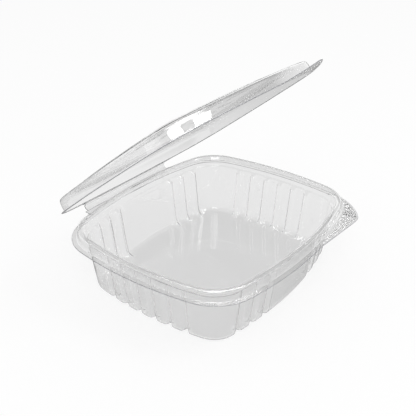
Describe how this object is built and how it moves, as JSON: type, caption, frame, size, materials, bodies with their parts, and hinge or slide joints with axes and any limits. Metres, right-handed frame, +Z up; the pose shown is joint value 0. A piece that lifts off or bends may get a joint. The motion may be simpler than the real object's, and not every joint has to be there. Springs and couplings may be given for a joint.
{
  "type": "plastic deli container",
  "caption": "Clear thermoformed deli container: a fluted tub with a beaded rim and grip tab, and a shallow domed lid that stands open on a moulded living hinge.",
  "frame": {"origin": "centre of the floor's underside, where the tub stands on the table", "axes": "+Z up; X runs along the living hinge; +Y points to the hinge side, so the lid's free edge and the grip tab face -Y"},
  "size_m": [0.1798, 0.1637, 0.146],
  "materials": {
    "clear_pet": "clear, glossy"
  },
  "bodies": {
    "tub": {"base": "clear_pet", "hinge_web": "clear_pet"},
    "lid": {"lid": "clear_pet"}
  },
  "joints": [
    {"name": "lid_hinge", "type": "hinge", "parent": "tub", "child": "lid", "pos_m": [0, 0.0869, 0.0381], "axis": [-1, 0, 0], "range_deg": [-38.6, 141.4]}
  ]
}
